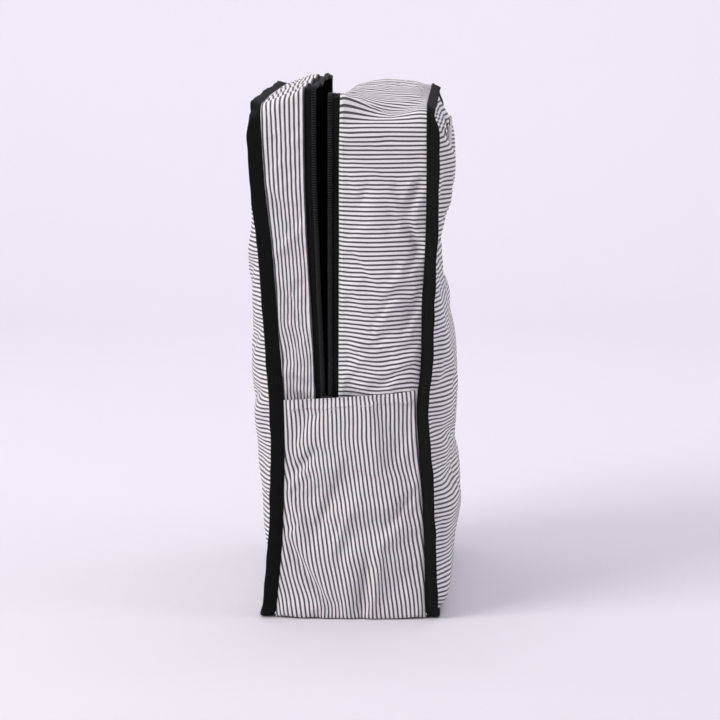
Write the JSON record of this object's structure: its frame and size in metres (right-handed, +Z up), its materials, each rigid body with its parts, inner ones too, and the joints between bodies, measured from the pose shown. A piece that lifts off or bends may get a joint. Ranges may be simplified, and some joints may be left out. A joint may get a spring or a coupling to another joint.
{
  "type": "zip-around canvas tote bag",
  "caption": "Soft boxy striped cloth bag, zip-around front panel that folds open, bound seams, patch side pockets and grab handles, for carrying things.",
  "frame": {"origin": "middle of the base, on the surface the bag stands on", "axes": "+Z up, Y across the bag's width, X through its depth with the opening front panel facing -X"},
  "size_m": [0.1716, 0.3168, 0.4204],
  "materials": {
    "canvas": "white cloth with fine dark stripes, matt, slight sheen",
    "lining": "black plain-weave lining",
    "foam": "soft padding, hidden",
    "board": "stiff base sheet, hidden",
    "binding": "black woven binding tape",
    "zip_tape": "black herringbone zip tape",
    "zip_coil": "black nylon coil, slight gloss",
    "slider_metal": "black lacquered zinc",
    "stitch": "white sewing thread"
  },
  "bodies": {
    "bag": {"rear_panel": "canvas", "rear_panel_foam": "foam", "rear_panel_lining": "lining", "front_panel_lower": "canvas", "front_panel_fold": "canvas", "front_foam_lower": "foam", "front_lining_lower": "lining", "rear_gusset": "canvas", "rear_gusset_lining": "lining", "lower_gusset": "canvas", "lower_gusset_lining": "lining", "base_board": "board", "near_side_pocket": "canvas", "far_side_pocket": "canvas", "rear_binding": "binding", "front_binding_lower": "binding", "rear_zip_tape": "zip_tape", "rear_zip_coil": "zip_coil", "near_zip_stop": "binding", "far_zip_stop": "binding", "rear_handle_anchors": "canvas"},
    "flap": {"front_panel_upper": "canvas", "front_foam_upper": "foam", "front_lining_upper": "lining", "front_gusset": "canvas", "front_gusset_lining": "lining", "front_binding_upper": "binding", "front_zip_tape": "zip_tape", "front_zip_coil": "zip_coil", "front_handle_anchors": "canvas"},
    "near_slider": {"near_slider": "slider_metal", "near_pull_tab": "slider_metal"},
    "far_slider": {"far_slider": "slider_metal"},
    "far_tab": {"far_pull_tab": "slider_metal"},
    "rear_handle": {"rear_handle": "canvas"},
    "front_handle": {"front_handle": "canvas"}
  },
  "joints": [
    {"name": "flap_fold", "type": "hinge", "parent": "bag", "child": "flap", "pos_m": [-0.064, 0, 0.168], "axis": [0, -1, 0], "range_deg": [-1.8, 60], "deforming": ["front_panel_fold"]},
    {"name": "near_slider_run", "type": "slide", "parent": "bag", "child": "near_slider", "axis": [0, 0, 1], "range_m": [0, 0.19]},
    {"name": "far_slider_run", "type": "slide", "parent": "bag", "child": "far_slider", "axis": [0, 0, 1], "range_m": [-0.024, 0.165]},
    {"name": "far_tab_swing", "type": "hinge", "parent": "far_slider", "child": "far_tab", "pos_m": [-0.0187, 0.1541, 0.204], "axis": [1, 0, 0], "range_deg": [0, 150]},
    {"name": "rear_handle_swing", "type": "hinge", "parent": "bag", "child": "rear_handle", "pos_m": [0.0787, 0, 0.3895], "axis": [0, -1, 0], "range_deg": [0, 150]},
    {"name": "front_handle_swing", "type": "hinge", "parent": "flap", "child": "front_handle", "pos_m": [-0.08491, 0, 0.38856], "axis": [0, 1, 0], "range_deg": [0, 150]}
  ]
}
